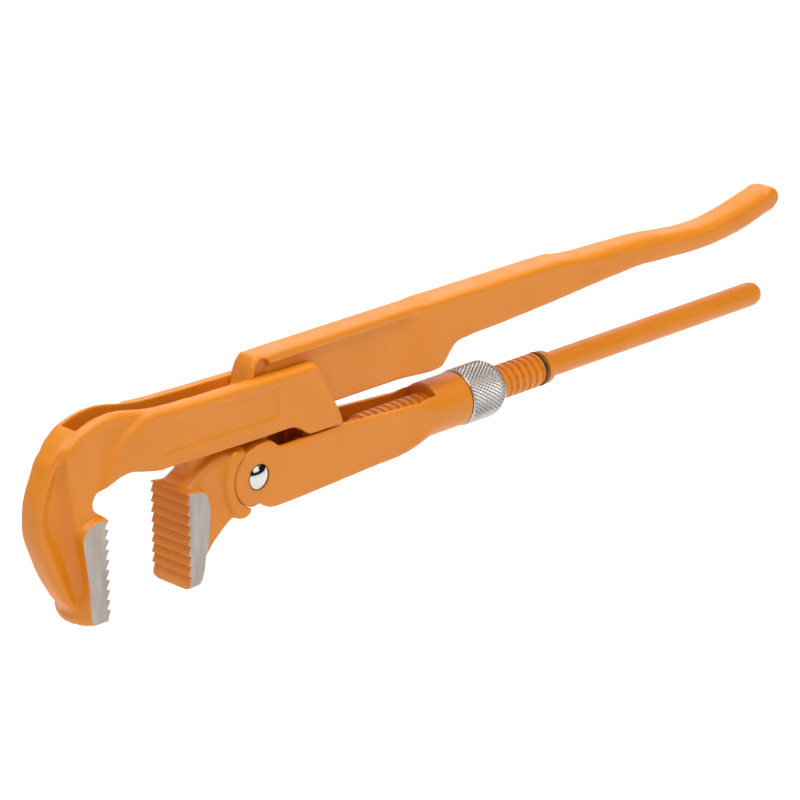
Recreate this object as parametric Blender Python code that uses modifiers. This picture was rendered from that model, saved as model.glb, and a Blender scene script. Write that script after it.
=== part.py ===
"""Swedish-pattern pipe wrench with 90-degree jaws, 1 inch size.

The long handle carries the lower jaw at its front end. The hook jaw's shank is
two cheeks that straddle the long handle's neck. A sleeve is riveted to the long
handle's tongue. The short handle is a threaded rod that lies in the sleeve's
channel, holds the hook jaw's fork by a pin, and is drawn in or out by the
adjusting nut, which bears on the sleeve's rear end. Squeezing the handles turns
the sleeve on the rivet, and the hook jaw tips on the neck's two bosses.

Outlines are drawn in millimetres in the plane of the jaws. X runs along the
rod, from the jaws to the handles, and Z is up, from the jaw tips to the long
handle. Y is the thickness. frame_xz() carries a point from the drawing to the
part's own frame, whose origin is the middle of the box, at its bottom.
"""
import math

import bmesh
import bpy
from mathutils import Vector

MM = 0.001

# ---- overall ----
FRONT_X = -151.5          # front of the hook's rim
REAR_X = 178.2            # tip of the long handle
BOTTOM_Z = -33.3          # lowest point of the hook jaw's tip
CENTRE_X = 0.5 * (FRONT_X + REAR_X)

# ---- joints ----
RIVET = (-67.8, -4.8)     # rivet axis, along Y
ROD_Z = -5.7              # axis of the threaded rod, along X
FORK_PIN = (-40.5, ROD_Z)  # pin between the rod's eye and the hook jaw's fork
FULCRUM = (-72.8, 14.0)   # bosses of the neck, in the cheeks' grooves
GAP = 0.3                 # between pieces that touch

# ---- thicknesses, as half widths in Y ----
JAW_HALF = 8.25           # toothed jaws
SHANK_HALF = 7.4          # outside of the hook jaw's cheeks
SLOT_HALF = 3.2           # slot between the cheeks
RIM_HALF = 3.2            # web and rim at the front of the hook
WEB_HALF = 3.0            # neck, tongue and head of the long handle
COLLAR_HALF = 7.6         # neck shoulder and collar round the sleeve's lugs
JAW_WEB_HALF = 7.1        # web behind the lower jaw
FLANGE_HALF = 4.5         # top flange of the long handle
GRIP_HALF = 5.5           # long handle, behind its head
SLEEVE_HALF = 8.0
LUG_SLOT_HALF = 3.3       # between the sleeve's lugs
CHANNEL_HALF = 5.9        # inside the sleeve's channel
FORK_HALF = 5.6           # outside of the hook jaw's fork

# ---- teeth ----
TOOTH_PITCH = 3.17
TOOTH_COUNT = 9
TOOTH_DEPTH = 1.5
UPPER_TIP_X = -127.8
UPPER_TIP_Z = -4.5        # first tooth of the hook jaw
LOWER_TIP_X = -97.1
LOWER_TIP_Z = -2.5        # first tooth of the lower jaw
LOWER_TOOTH_PITCH = 3.23

# ---- rivet ----
RIVET_R = 3.2
RIVET_HOLE_R = 3.5
RIVET_HEAD_R = 4.2
COUNTERSINK_R = 4.6

# ---- sleeve ----
LUG_R = 9.3
LUG_TOP_R = 10.1          # bump on top of the lugs, clear of the collar
COLLAR_R = 9.8            # inside of the long handle's collar
TONGUE_R = 9.2
CHANNEL_FRONT_X = -59.0
CHANNEL_FLOOR_Z = -11.6
SLEEVE_END_R = 8.8
SLEEVE_END_X = (9.0, 24.0)
LOFT_X = (-15.0, 10.0)    # where the square channel section turns into the round end
BORE_R = 5.9

# ---- adjusting nut ----
NUT_R = 9.3
NUT_X = (24.3, 41.0)
NUT_BEVEL = 3.6
NUT_BORE_R = 5.8

# ---- short handle ----
THREAD_R = 5.6
NECK_R = 4.4
THREAD_X = (-20.0, 61.5)
GROOVE_X = (61.5, 63.3)
LAND_END_X = 66.0
GROOVE_R = 4.3
HANDLE_R = 4.1
ROD_END_X = 172.3
EYE_R = 5.2
EYE_HALF = 2.9

# ---- fork and its pin ----
FORK_R = 5.0
PIN_R = 2.4
PIN_HOLE_R = 2.7
PIN_HALF = 5.55

# ---- neck bosses and the grooves they slide in ----
BOSS_R = 2.5
BOSS_HALF = 4.1
GROOVE_HALF = 4.4
GROOVE_Z = (9.7, 17.3)
GROOVE_FRONT_X = -112.0

# ---- retaining ring ----
RING_R = 5.35
RING_WIRE_R = 0.65
RING_GAP_DEG = 26.0
RING_GAP_AT_DEG = -60.0   # below, on the +Y side

ORANGE = (0.72, 0.27, 0.04, 1.0)
STEEL = (0.60, 0.58, 0.55, 1.0)
PLATED = (0.66, 0.64, 0.60, 1.0)
DARK = (0.03, 0.025, 0.02, 1.0)


# ------------------------------------------------------------------ scene
for obj in list(bpy.data.objects):
    bpy.data.objects.remove(obj, do_unlink=True)

PARTS = bpy.data.collections.new("pipe_wrench")
TOOLS = bpy.data.collections.new("cutters")
bpy.context.scene.collection.children.link(PARTS)
bpy.context.scene.collection.children.link(TOOLS)


def material(name, colour, roughness, metallic):
    mat = bpy.data.materials.new(name)
    mat.use_nodes = True
    shader = mat.node_tree.nodes["Principled BSDF"]
    shader.inputs["Base Color"].default_value = colour
    shader.inputs["Roughness"].default_value = roughness
    shader.inputs["Metallic"].default_value = metallic
    return mat


def frame_xz(x, z):
    return (x - CENTRE_X) * MM, (z - BOTTOM_Z) * MM


# --------------------------------------------------------------- outlines
def arc(centre, radius, start, end, steps):
    """Points on a circle, from one angle to another, in degrees."""
    points = []
    for i in range(steps + 1):
        a = math.radians(start + (end - start) * i / steps)
        points.append((centre[0] + radius * math.cos(a), centre[1] + radius * math.sin(a)))
    return points


def smooth(points, steps=3):
    """Catmull-Rom curve through the points."""
    out = []
    for i in range(len(points) - 1):
        p0 = points[max(i - 1, 0)]
        p1, p2 = points[i], points[i + 1]
        p3 = points[min(i + 2, len(points) - 1)]
        for k in range(steps):
            t = k / steps
            out.append(tuple(
                0.5 * (2 * b + (c - a) * t + (2 * a - 5 * b + 4 * c - d) * t * t
                       + (3 * b - a - 3 * c + d) * t ** 3)
                for a, b, c, d in zip(p0, p1, p2, p3)))
    out.append(points[-1])
    return out


def upper_teeth():
    """Sawteeth down the hook jaw's face, with their steep flanks on top."""
    points = []
    for i in range(TOOTH_COUNT):
        z = UPPER_TIP_Z - i * TOOTH_PITCH
        points += [(UPPER_TIP_X - TOOTH_DEPTH, z + 0.55), (UPPER_TIP_X, z)]
    return points


def lower_teeth():
    """Sawteeth down the lower jaw's face, with their steep flanks below."""
    points = []
    for i in range(TOOTH_COUNT):
        z = LOWER_TIP_Z - i * LOWER_TOOTH_PITCH
        points += [(LOWER_TIP_X, z), (LOWER_TIP_X + TOOTH_DEPTH, z - 0.55)]
    return points


# ----------------------------------------------------------------- solids
def place(name, mesh, x=0.0, z=0.0, y=0.0, tool=False):
    obj = bpy.data.objects.new(name, mesh)
    px, pz = frame_xz(x, z)
    obj.location = (px, y * MM, pz)
    if tool:
        TOOLS.objects.link(obj)
        obj.hide_render = True
        obj.display_type = "WIRE"
    else:
        PARTS.objects.link(obj)
    return obj


def slab(name, outline, half, at=(0.0, 0.0), tool=True):
    """A flat outline in XZ, half a thickness to each side of Y = 0."""
    curve = bpy.data.curves.new(name + "_outline", "CURVE")
    curve.dimensions = "2D"
    curve.fill_mode = "BOTH"
    curve.extrude = half * MM
    spline = curve.splines.new("POLY")
    spline.points.add(len(outline) - 1)
    for point, (x, z) in zip(spline.points, outline):
        point.co = ((x - at[0]) * MM, (z - at[1]) * MM, 0.0, 1.0)
    spline.use_cyclic_u = True
    flat = bpy.data.objects.new(name + "_flat", curve)
    TOOLS.objects.link(flat)
    px, pz = frame_xz(*at)
    flat.location = (px, 0.0, pz)
    flat.rotation_euler = (math.radians(90.0), 0.0, 0.0)
    bpy.context.view_layer.update()
    mesh = bpy.data.meshes.new_from_object(
        flat.evaluated_get(bpy.context.evaluated_depsgraph_get()))
    mesh.name = name
    bm = bmesh.new()
    bm.from_mesh(mesh)
    bmesh.ops.remove_doubles(bm, verts=bm.verts, dist=1e-6)
    bmesh.ops.recalc_face_normals(bm, faces=bm.faces)
    bm.to_mesh(mesh)
    bm.free()
    obj = place(name, mesh, at[0], at[1], tool=tool)
    obj.matrix_world = flat.matrix_world
    bpy.data.objects.remove(flat, do_unlink=True)
    return obj


def cylinder(name, radius, depth, x, z, y=0.0, along="Y", sides=40):
    """A cylinder used to join or cut, centred on the given point."""
    bpy.ops.mesh.primitive_cylinder_add(vertices=sides, radius=radius * MM, depth=depth * MM)
    obj = bpy.context.object
    obj.name = name
    obj.rotation_euler = (math.radians(90.0), 0, 0) if along == "Y" else (0, math.radians(90.0), 0)
    px, pz = frame_xz(x, z)
    obj.location = (px, y * MM, pz)
    for coll in list(obj.users_collection):
        coll.objects.unlink(obj)
    TOOLS.objects.link(obj)
    obj.hide_render = True
    obj.display_type = "WIRE"
    return obj


def loft(name, sections):
    """A closed skin over (x, half width, bottom, top, lower and upper corner radius) sections."""
    bm = bmesh.new()
    rings = []
    for x, half, low, high, r_low, r_high in sections:
        ring = []
        for cy, cz, r, start in ((half - r_high, high - r_high, r_high, 0.0), (r_high - half, high - r_high, r_high, 90.0),
                                 (r_low - half, low + r_low, r_low, 180.0), (half - r_low, low + r_low, r_low, 270.0)):
            ring += [bm.verts.new((x * MM, y * MM, z * MM)) for y, z in arc((cy, cz), r, start + 1.0, start + 89.0, 9)]
        rings.append(ring)
    count = len(rings[0])
    for a, b in zip(rings, rings[1:]):
        for k in range(count):
            bm.faces.new((a[k], a[(k + 1) % count], b[(k + 1) % count], b[k]))
    bm.faces.new(rings[0])
    bm.faces.new(rings[-1])
    bmesh.ops.triangulate(bm, faces=bm.faces)
    bmesh.ops.recalc_face_normals(bm, faces=bm.faces)
    mesh = bpy.data.meshes.new(name)
    bm.to_mesh(mesh)
    bm.free()
    return place(name, mesh, 0.0, 0.0, tool=True)


def turned(name, profile, x, z, y=0.0, along="X", sides=48, tool=False):
    """A turned piece: (radius, distance) down its outer side, about X or Y."""
    mesh = bpy.data.meshes.new(name)
    bm = bmesh.new()
    verts = [bm.verts.new((r * MM, 0.0, d * MM)) for r, d in profile]
    for a, b in zip(verts, verts[1:]):
        bm.edges.new((a, b))
    bm.to_mesh(mesh)
    bm.free()
    obj = place(name, mesh, x, z, y, tool=tool)
    # the profile's +Z goes to +X, or to +Y
    obj.rotation_euler = (0, math.radians(90.0), 0) if along == "X" else (math.radians(-90.0), 0, 0)
    screw = obj.modifiers.new("turn", "SCREW")
    screw.axis = "Z"
    screw.steps = screw.render_steps = sides
    screw.use_merge_vertices = True
    screw.merge_threshold = 1e-5
    screw.use_smooth_shade = True
    return obj


def combine(target, tool, operation):
    mod = target.modifiers.new(operation.lower(), "BOOLEAN")
    mod.operation = operation
    mod.solver = "EXACT"
    mod.object = tool


def join(target, *tools):
    for tool in tools:
        combine(target, tool, "UNION")


def cut(target, *tools):
    for tool in tools:
        combine(target, tool, "DIFFERENCE")


# -------------------------------------------------------------- hook jaw
def make_hook_jaw():
    top = smooth([(-140.6, 19.0), (-140.0, 20.8), (-138.5, 22.4), (-135.0, 25.0), (-130.2, 27.6),
                  (-126.3, 28.7), (-122.5, 29.1), (-118.7, 28.8), (-111.0, 27.2), (-104.0, 26.3),
                  (-90.0, 25.7), (-63.0, 25.1), (-47.0, 24.9)])
    foot = [(-42.1, 23.7), (-33.1, 9.1), (-32.1, 5.6), (-31.9, 3.5), (-32.8, 2.9), (-45.8, 2.9),
            (-49.7, 5.2), (-52.4, 6.6), (-55.1, 7.1)]
    under = [(-71.6, 7.1), (-87.8, 7.3), (-99.7, 7.7)]
    throat = smooth([(-107.6, 8.1), (-111.5, 8.8), (-115.3, 10.0), (-119.2, 10.5), (-123.0, 10.2),
                     (-126.9, 9.0), (-130.8, 7.3), (-134.0, 5.5)])
    shank = slab("hook_jaw", top + foot + under + throat + [(-138.0, 5.0)], SHANK_HALF,
                 at=FORK_PIN, tool=False)

    face = [(-129.6, -2.2)] + upper_teeth() + \
           [(-128.7, -31.2), (-128.7, -32.8), (-129.2, BOTTOM_Z), (-134.0, BOTTOM_Z), (-134.8, -32.8)]
    back = smooth([(-135.6, -30.2), (-135.9, -28.6), (-135.2, -24.4), (-135.6, -19.5),
                   (-136.5, -12.9), (-137.4, -7.5), (-138.3, -1.4), (-139.0, 3.4), (-139.5, 8.2),
                   (-140.4, 13.0), (-141.2, 17.9), (-141.3, 21.0)], 2)
    crown = [(-138.0, 23.2), (-133.0, 16.0), (-129.8, 11.5), (-129.4, 8.2)]
    body_throat = [(-130.8, 7.2), (-132.3, 6.0), (-132.7, 4.6), (-132.6, 3.1), (-131.7, 2.0),
                   (-129.5, 0.1), (-128.2, -1.2)]
    jaw = slab("jaw_body", face + back + crown + body_throat, JAW_HALF)

    rim = smooth([(-135.9, 26.6), (-139.5, 24.6), (-143.0, 22.0), (-146.0, 19.0), (-147.9, 14.6),
                  (-149.7, 10.7), (-150.9, 6.4), (FRONT_X, 0.6), (-151.1, -3.6), (-149.8, -7.4),
                  (-148.4, -11.0), (-146.7, -15.3), (-144.9, -18.9), (-143.1, -22.0),
                  (-141.2, -25.1), (-138.8, -28.2), (-136.0, -31.0), (-133.9, -32.6)], 2)
    web = slab("hook_web", rim + [(-132.0, -31.0), (-133.0, -4.0), (-134.5, 10.0), (-131.0, 20.0)],
               RIM_HALF)

    fork = slab("fork", [(-45.4, 6.0)] + arc(FORK_PIN, FORK_R, 180.0, 360.0, 16) + [(-35.6, 6.0)],
                FORK_HALF)
    slot = slab("shank_slot", [(-135.4, 40.0), (-135.4, 26.5), (-132.5, 20.5), (-128.5, 14.5),
                               (-125.4, 9.4), (-125.2, -20.0), (-20.0, -20.0), (-20.0, 40.0)],
                SLOT_HALF)
    low, high = GROOVE_Z
    groove_r = 0.5 * (high - low)
    groove = slab("boss_groove", [(-25.0, low), (-25.0, high)]
                  + arc((GROOVE_FRONT_X + groove_r, low + groove_r), groove_r, 90.0, 270.0, 12),
                  GROOVE_HALF)
    hole = cylinder("fork_hole", PIN_HOLE_R, 30.0, *FORK_PIN)
    join(shank, jaw, web, fork)
    cut(shank, slot, groove, hole)
    return shank


# ------------------------------------------------------------ long handle
def make_long_handle():
    grip_top = smooth([(72.0, 31.0), (78.8, 29.9), (97.0, 29.3), (110.7, 28.9), (122.6, 27.5),
                       (131.2, 26.7), (146.9, 26.8), (158.6, 28.4), (168.0, 30.4), (173.0, 31.2)])
    tip = [(175.6, 31.2), (177.4, 30.2), (REAR_X, 28.6), (177.6, 26.8), (176.0, 25.4), (173.8, 24.3)]
    grip_under = smooth([(171.9, 23.3), (161.1, 20.5), (153.9, 19.3), (134.5, 18.2), (120.5, 18.7),
                         (110.0, 19.4), (104.2, 19.4), (85.3, 18.4), (67.2, 17.4), (39.3, 16.0),
                         (23.8, 15.3), (18.8, 13.6), (15.6, 10.6), (13.0, 8.6), (6.0, 8.1)])
    # neck, head and tongue, one thin plate that runs on into the handle
    tongue = arc(RIVET, TONGUE_R, -15.0, -104.0, 14)
    plate = slab("long_handle",
                 [(-64.4, 32.0), (-60.0, 31.4), (40.0, 31.3)] + [(40.0, 16.2)]
                 + grip_under[-13:] + [(-33.0, 8.3), (-50.0, 8.3), (-57.0, 7.0), (-60.2, 3.0)]
                 + tongue + [(-75.0, -14.6), (-81.3, -18.0), (-86.0, -22.0), (-90.5, -27.0),
                             (-93.0, -24.0), (-93.4, -3.0), (-91.9, 5.3), (-90.4, 9.5), (-86.6, 14.2),
                             (-81.0, 18.4), (-75.0, 20.8), (-69.5, 23.0), (-68.2, 25.4),
                             (-67.8, 26.7), (-66.9, 28.9), (-65.5, 30.9)],
                 WEB_HALF, tool=False)
    flange = slab("flange", [(-60.5, 28.9), (-58.0, 28.4), (6.0, 28.4), (50.0, 27.0), (74.0, 27.0),
                             (74.0, 30.6), (70.0, 31.29), (40.0, 31.32), (-58.0, 31.32), (-60.5, 31.0)],
                  FLANGE_HALF)
    grip = slab("grip", [(2.0, 9.2), (4.0, 27.6), (60.0, 27.8), (68.0, 30.2), (72.0, 30.8)]
                + grip_top[1:] + tip + grip_under, GRIP_HALF)

    # lower jaw
    face = [(-92.0, -1.6), (-95.6, -1.9)] + lower_teeth() + [
        (-96.8, -31.0), (-96.6, -32.4), (-94.7, -32.9), (-92.3, -32.7), (-91.6, -32.0)]
    pad_back = [(-90.6, -28.2), (-89.7, -22.9), (-88.8, -20.6), (-88.3, -15.9), (-87.8, -11.3),
                (-88.1, -8.0), (-89.6, -4.3)]
    jaw = slab("lower_jaw", face + pad_back, JAW_HALF)
    web = slab("lower_jaw_web", [(-93.5, -4.0), (-92.6, 0.4), (-84.0, 4.0), (-79.6, 0.0),
                                 (-79.4, -12.0), (-79.0, -16.5), (-81.3, -19.0), (-84.6, -22.0),
                                 (-87.0, -25.0), (-90.6, -28.6), (-93.0, -26.0)], JAW_WEB_HALF)
    shoulder = [(-95.0, -2.1), (-91.9, 0.3), (-88.3, 2.6), (-84.6, 4.8), (-80.5, 5.9), (-75.0, 5.9)]
    collar = arc(RIVET, COLLAR_R, 112.0, 252.0, 24)
    nub = [(-70.6, -15.0), (-71.4, -16.0), (-73.1, -16.7), (-75.6, -16.3), (-77.3, -16.4),
           (-79.6, -14.0), (-81.4, -10.0), (-82.2, -5.0), (-82.6, 0.0), (-84.6, 2.0),
           (-88.6, -1.0), (-92.0, -4.0), (-93.4, -5.6)]
    ring = slab("collar", shoulder + collar + nub, COLLAR_HALF)

    boss = cylinder("bosses", BOSS_R, 2 * BOSS_HALF, *FULCRUM)
    hole = cylinder("tongue_hole", RIVET_HOLE_R, 30.0, *RIVET)
    join(plate, flange, grip, web, ring, jaw, boss)
    cut(plate, hole)
    return plate


# ----------------------------------------------------------------- sleeve
def make_sleeve():
    lug = [arc(RIVET, LUG_TOP_R, 88.0, 88.0, 1)[0], arc(RIVET, 0.5 * (LUG_R + LUG_TOP_R), 91.5, 91.5, 1)[0]]
    lug += arc(RIVET, LUG_R, 95.0, 258.0, 28)
    under = [(-66.0, -14.0), (-64.3, -15.0), (-62.7, -16.0), (-60.2, -16.7), (-51.0, -16.6),
             (-34.0, -15.9), (-14.0, -15.0)]
    walls = [(-14.0, 1.1), (-21.0, 1.6), (-34.0, 2.2), (-57.6, 2.2),
             (-59.4, 2.6), (-61.4, 4.9), (-63.0, 5.4)]
    body = slab("sleeve", lug + under + walls, SLEEVE_HALF, at=RIVET, tool=False)
    low, high, r = ROD_Z - SLEEVE_END_R, ROD_Z + SLEEVE_END_R, SLEEVE_END_R
    x0, x1 = LOFT_X
    rear = loft("sleeve_rear", [(x0, 7.95, -15.0, 1.1, 0.6, 0.5), (-10.0, 7.96, -14.8, 0.75, 1.2, 0.5),
                                (-5.0, 8.0, -14.6, 0.4, 2.4, 0.6), (0.0, 8.15, -14.5, 0.1, 4.2, 0.9),
                                (3.0, 8.4, low, 0.3, 5.8, 2.2), (6.0, 8.65, low, 1.6, 7.6, 5.2),
                                (8.0, 8.77, low, 2.8, 8.5, 8.0), (9.2, r, low, high, r - 0.02, r - 0.02),
                                (x1, r, low, high, r - 0.02, r - 0.02)])
    x0, x1 = SLEEVE_END_X
    end = cylinder("sleeve_end", SLEEVE_END_R, x1 - x0, 0.5 * (x0 + x1), ROD_Z, along="X", sides=48)
    tongue_slot = slab("tongue_slot", [(-90.0, -30.0), (-60.6, -30.0), (-60.6, -11.0), (-56.0, -11.0),
                                       (-56.0, 20.0), (-90.0, 20.0)], LUG_SLOT_HALF)
    channel = slab("channel", [(CHANNEL_FRONT_X, CHANNEL_FLOOR_Z), (10.0, CHANNEL_FLOOR_Z),
                               (10.0, 12.0), (CHANNEL_FRONT_X, 12.0)], CHANNEL_HALF)
    bore = cylinder("sleeve_bore", BORE_R, 30.0, 19.0, ROD_Z, along="X", sides=48)
    hole = cylinder("lug_hole", RIVET_HOLE_R, 40.0, *RIVET)
    join(body, rear, end)
    cut(body, tongue_slot, channel, bore, hole)
    for name, side in (("front_countersink", -1.0), ("back_countersink", 1.0)):
        cut(body, cylinder(name, COUNTERSINK_R, 4.0, RIVET[0], RIVET[1], y=side * (SLEEVE_HALF + 1.3)))
    return body


# ----------------------------------------------------------- turned pieces
def make_rivet():
    reach = SLEEVE_HALF - 0.4          # under the heads, in the countersinks
    crown = 1.55
    dome = [(0.0, reach + crown), (1.2, reach + 0.94 * crown), (2.4, reach + 0.75 * crown),
            (3.4, reach + 0.47 * crown), (RIVET_HEAD_R, reach + 0.15)]
    profile = dome + [(RIVET_HEAD_R, reach), (RIVET_R, reach)]
    profile += [(r, -d) for r, d in reversed(profile)]
    return turned("jaw_rivet", profile, *RIVET, along="Y", sides=40)


def make_pin():
    h = PIN_HALF
    profile = [(0.0, h), (PIN_R - 0.4, h), (PIN_R, h - 0.4), (PIN_R, 0.4 - h), (PIN_R - 0.4, -h), (0.0, -h)]
    return turned("coupling_pin", profile, *FORK_PIN, along="Y", sides=32)


def make_nut():
    x0, x1 = NUT_X
    length = x1 - x0
    b = NUT_BEVEL
    profile = [(NUT_BORE_R, length), (NUT_R - 2.4, length), (NUT_R - 2.0, length - 0.2),
               (NUT_R, length - b), (NUT_R, 0.5), (NUT_R - 0.5, 0.0), (NUT_BORE_R, 0.0),
               (NUT_BORE_R, length)]
    return turned("adjusting_nut", profile, x0, ROD_Z, sides=48)


def make_short_handle():
    x = FORK_PIN[0]
    end = ROD_END_X - x
    tip = [(0.0, end), (1.4, end - 0.3), (2.7, end - 1.1), (3.6, end - 2.3), (HANDLE_R, end - 4.2)]
    profile = tip + [(HANDLE_R, LAND_END_X + 1.2 - x), (4.8, LAND_END_X + 0.4 - x),
                     (THREAD_R, LAND_END_X - x), (THREAD_R, GROOVE_X[1] - x), (GROOVE_R, GROOVE_X[1] - x),
                     (GROOVE_R, GROOVE_X[0] - x), (THREAD_R, GROOVE_X[0] - x), (THREAD_R, THREAD_X[0] + 1.0 - x),
                     (NECK_R, THREAD_X[0] - x), (NECK_R, -34.6 - x), (0.0, -34.6 - x)]
    rod = turned("short_handle", profile, x, ROD_Z)
    eye = slab("rod_eye", arc(FORK_PIN, EYE_R, 36.0, 324.0, 24) + [(-32.0, ROD_Z - 3.0), (-32.0, ROD_Z + 3.0)],
               EYE_HALF)
    hole = cylinder("eye_hole", PIN_HOLE_R, 30.0, *FORK_PIN)
    join(rod, eye)
    cut(rod, hole)
    return rod


def make_ring():
    """Open ring of round wire in the groove at the rear end of the thread."""
    curve = bpy.data.curves.new("ring_wire", "CURVE")
    curve.dimensions = "3D"
    curve.bevel_depth = RING_WIRE_R * MM
    curve.bevel_resolution = 2
    curve.use_fill_caps = True
    spline = curve.splines.new("POLY")
    start = RING_GAP_AT_DEG + RING_GAP_DEG / 2
    around = arc((0.0, 0.0), RING_R, start, start + 360.0 - RING_GAP_DEG, 36)
    spline.points.add(len(around) - 1)
    for point, (y, z) in zip(spline.points, around):
        point.co = (0.0, y * MM, z * MM, 1.0)
    obj = bpy.data.objects.new("retaining_ring", curve)
    PARTS.objects.link(obj)
    px, pz = frame_xz(0.5 * (GROOVE_X[0] + GROOVE_X[1]), ROD_Z)
    obj.location = (px, 0.0, pz)
    return obj


# --------------------------------------------------------------- assembly
paint = material("orange_paint", ORANGE, 0.38, 0.0)
bright = material("bright_steel", STEEL, 0.30, 1.0)
plated = material("plated_steel", PLATED, 0.35, 1.0)
dark = material("dark_steel", DARK, 0.45, 1.0)

for build, mat in ((make_hook_jaw, paint), (make_long_handle, paint), (make_sleeve, paint),
                   (make_rivet, bright), (make_pin, bright), (make_nut, plated),
                   (make_short_handle, paint), (make_ring, dark)):
    piece = build()
    piece.data.materials.clear()
    piece.data.materials.append(mat)

# An empty stands at the jaw linkage's moving pivot, and carries what slides.
slider = bpy.data.objects.new("rod_slide_axis", None)
slider.location = (frame_xz(*FORK_PIN)[0], 0.0, frame_xz(*FORK_PIN)[1])
PARTS.objects.link(slider)
bpy.context.view_layer.update()
for name in ("short_handle", "coupling_pin", "retaining_ring", "hook_jaw"):
    child = bpy.data.objects[name]
    child.parent = slider
    child.matrix_parent_inverse = slider.matrix_world.inverted()
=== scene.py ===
import math

import bmesh
import bpy
import numpy as np
from mathutils import Matrix, Vector


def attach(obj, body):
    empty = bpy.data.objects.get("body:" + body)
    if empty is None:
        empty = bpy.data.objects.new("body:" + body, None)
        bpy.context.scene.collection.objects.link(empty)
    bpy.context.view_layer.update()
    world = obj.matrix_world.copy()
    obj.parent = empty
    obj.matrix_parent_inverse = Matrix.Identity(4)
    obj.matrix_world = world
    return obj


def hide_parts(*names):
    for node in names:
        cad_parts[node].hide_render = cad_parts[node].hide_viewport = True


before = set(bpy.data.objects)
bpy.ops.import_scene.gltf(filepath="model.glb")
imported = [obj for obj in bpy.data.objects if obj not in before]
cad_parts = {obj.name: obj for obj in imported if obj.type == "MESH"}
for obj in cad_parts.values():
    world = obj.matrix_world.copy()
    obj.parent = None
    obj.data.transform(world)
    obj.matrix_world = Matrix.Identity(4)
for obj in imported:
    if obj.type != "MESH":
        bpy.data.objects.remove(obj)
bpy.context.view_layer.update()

SCENE = bpy.context.scene

# Drawing coordinates are millimetres: X along the rod, Z up from the jaw tips.
# The row frame is metres, with its origin at the middle of the box's bottom.
CENTRE_X = 13.35
BOTTOM_Z = -33.3
RIVET = (-67.8, -4.8)
ROD_Z = -5.7
FORK_PIN = (-40.5, ROD_Z)
FULCRUM = (-72.8, 14.0)
TO_FRAME = Matrix.Diagonal((0.001, 0.001, 0.001, 1.0)) @ Matrix.Translation((-CENTRE_X, 0.0, -BOTTOM_Z))


# ------------------------------------------------------------- outlines
def arc(c, r, a0, a1, n):
    return [(c[0] + r * math.cos(math.radians(a0 + (a1 - a0) * i / n)),
             c[1] + r * math.sin(math.radians(a0 + (a1 - a0) * i / n))) for i in range(n + 1)]


def smooth(pts, n=5):
    out = []
    for i in range(len(pts) - 1):
        p0, p1, p2, p3 = pts[max(i - 1, 0)], pts[i], pts[i + 1], pts[min(i + 2, len(pts) - 1)]
        for k in range(n):
            t = k / n
            out.append(tuple(0.5 * (2 * b + (c - a) * t + (2 * a - 5 * b + 4 * c - d) * t * t
                                    + (3 * b - a - 3 * c + d) * t ** 3)
                             for a, b, c, d in zip(p0, p1, p2, p3)))
    out.append(pts[-1])
    return out


def lowered(pts, dz, dx=0.0):
    return [(x + dx, z - dz) for x, z in pts]


# ------------------------------------------------------------- solids, in millimetres
def new_object(name, bm):
    mesh = bpy.data.meshes.new(name)
    bm.to_mesh(mesh)
    bm.free()
    obj = bpy.data.objects.new(name, mesh)
    SCENE.collection.objects.link(obj)
    return obj


def slab(outline, half, y=0.0):
    """A closed prism of the outline, half a thickness to each side of y."""
    bm = bmesh.new()
    clean = [p for i, p in enumerate(outline)
             if math.hypot(p[0] - outline[i - 1][0], p[1] - outline[i - 1][1]) > 1e-4]
    low = [bm.verts.new((x, y - half, z)) for x, z in clean]
    face = bm.faces.new(low)
    res = bmesh.ops.extrude_face_region(bm, geom=[face])
    for v in res["geom"]:
        if isinstance(v, bmesh.types.BMVert):
            v.co.y = y + half
    bmesh.ops.triangulate(bm, faces=bm.faces)
    bmesh.ops.recalc_face_normals(bm, faces=bm.faces)
    return new_object("slab", bm)


def box(x0, x1, y0, y1, z0, z1):
    bm = bmesh.new()
    bmesh.ops.create_cube(bm, size=1.0)
    for v in bm.verts:
        v.co = Vector((x0 + (v.co.x + 0.5) * (x1 - x0), y0 + (v.co.y + 0.5) * (y1 - y0),
                       z0 + (v.co.z + 0.5) * (z1 - z0)))
    return new_object("box", bm)


def rod(r0, r1, a, b, n=64):
    """A cylinder or cone between two points."""
    a, b = Vector(a), Vector(b)
    bm = bmesh.new()
    bmesh.ops.create_cone(bm, cap_ends=True, cap_tris=False, segments=n, radius1=r0, radius2=r1,
                          depth=(b - a).length)
    bm.transform(Matrix.Translation((a + b) / 2) @ (b - a).to_track_quat("Z", "Y").to_matrix().to_4x4())
    bmesh.ops.recalc_face_normals(bm, faces=bm.faces)
    return new_object("rod", bm)


def lathe(profile, n=96, along="X", closed=False, origin=(0.0, 0.0, 0.0)):
    """(distance along the axis, radius) turned about X or Y. The radius is 0 at both ends unless closed."""
    bm = bmesh.new()
    rings = []
    for d, r in profile:
        if r < 1e-6:
            rings.append([bm.verts.new((d, 0, 0))])
        else:
            rings.append([bm.verts.new((d, r * math.cos(2 * math.pi * k / n), r * math.sin(2 * math.pi * k / n)))
                          for k in range(n)])
    pairs = list(zip(rings, rings[1:]))
    if closed:
        pairs.append((rings[-1], rings[0]))
    for a, b in pairs:
        for k in range(n):
            q = [a[k % len(a)], a[(k + 1) % len(a)], b[(k + 1) % len(b)], b[k % len(b)]]
            q = [v for i, v in enumerate(q) if v is not q[i - 1]]
            if len(q) > 2:
                bm.faces.new(q)
    if along == "Y":
        bm.transform(Matrix.Rotation(math.radians(90), 4, "Z"))
    bm.transform(Matrix.Translation(origin))
    bmesh.ops.recalc_face_normals(bm, faces=bm.faces)
    return new_object("lathe", bm)


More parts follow.
